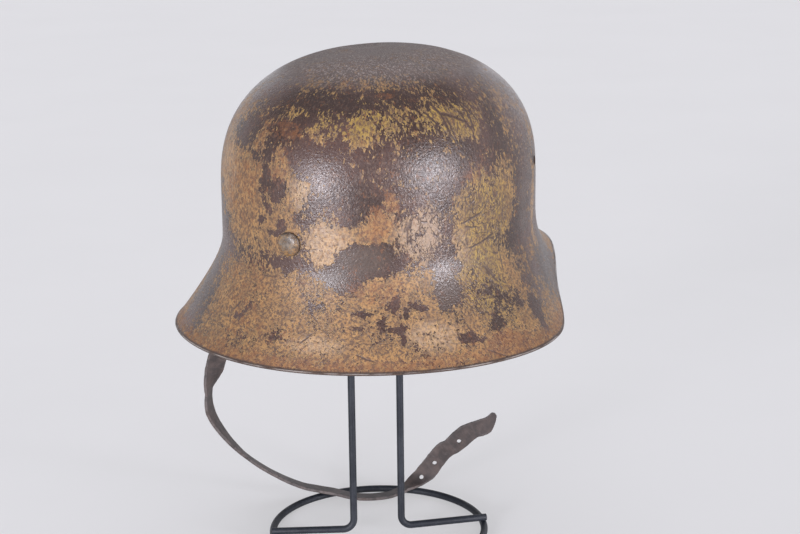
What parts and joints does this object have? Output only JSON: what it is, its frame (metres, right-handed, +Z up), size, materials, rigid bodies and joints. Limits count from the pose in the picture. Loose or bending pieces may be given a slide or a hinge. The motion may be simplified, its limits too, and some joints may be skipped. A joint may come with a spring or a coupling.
{
  "type": "steel helmet on wire stand",
  "caption": "Pressed steel helmet with a flared skirt and visor, worn paint, rivets and an unfastened leather chin strap, resting on a plain welded wire stand.",
  "frame": {"origin": "on the floor under the middle of the whole object's box", "axes": "+Z up, -Y towards the helmet's visor, +X towards the wearer's left"},
  "size_m": [0.254, 0.284, 0.3198],
  "materials": {
    "shell_paint": "worn yellow-brown paint over dark steel, satin",
    "rivet_paint": "worn brown paint, satin",
    "bail_steel": "dull grey steel",
    "strap_leather": "old dark leather, matte",
    "stand_paint": "black paint, satin"
  },
  "bodies": {
    "root": {"helmet_shell": "shell_paint", "rear_rivet": "rivet_paint", "right_rivet": "rivet_paint", "left_rivet": "rivet_paint", "strap_bail": "bail_steel", "chin_strap": "strap_leather", "wire_stand": "stand_paint"}
  },
  "joints": []
}
